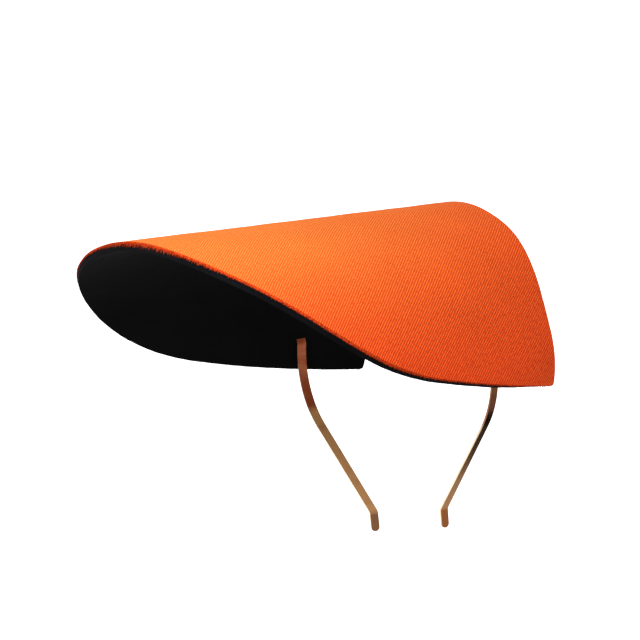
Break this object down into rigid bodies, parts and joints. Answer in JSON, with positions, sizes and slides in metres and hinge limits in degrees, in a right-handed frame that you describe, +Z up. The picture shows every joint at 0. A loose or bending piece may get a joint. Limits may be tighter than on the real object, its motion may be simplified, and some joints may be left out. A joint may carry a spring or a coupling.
{
  "type": "visor cap",
  "caption": "Crownless visor cap: one orange twill sheet with a black foam lining, bent into an open arch on a flat gold-coloured metal head band with two legs.",
  "frame": {"origin": "where the top of the head meets the inner face of the lining, at the crest of the arch and in the plane of the head band", "axes": "+Z up, -Y the way that the wearer looks, +X the wearer's left"},
  "size_m": [0.2036, 0.1649, 0.1424],
  "materials": {
    "shell": "orange cotton twill, steep diagonal wales, matt",
    "lining": "black closed-cell foam with a brushed matt face",
    "headband": "brushed gold-bronze metal strip, satin"
  },
  "bodies": {
    "root": {"shell": "shell", "lining": "lining", "headband": "headband"}
  },
  "joints": []
}
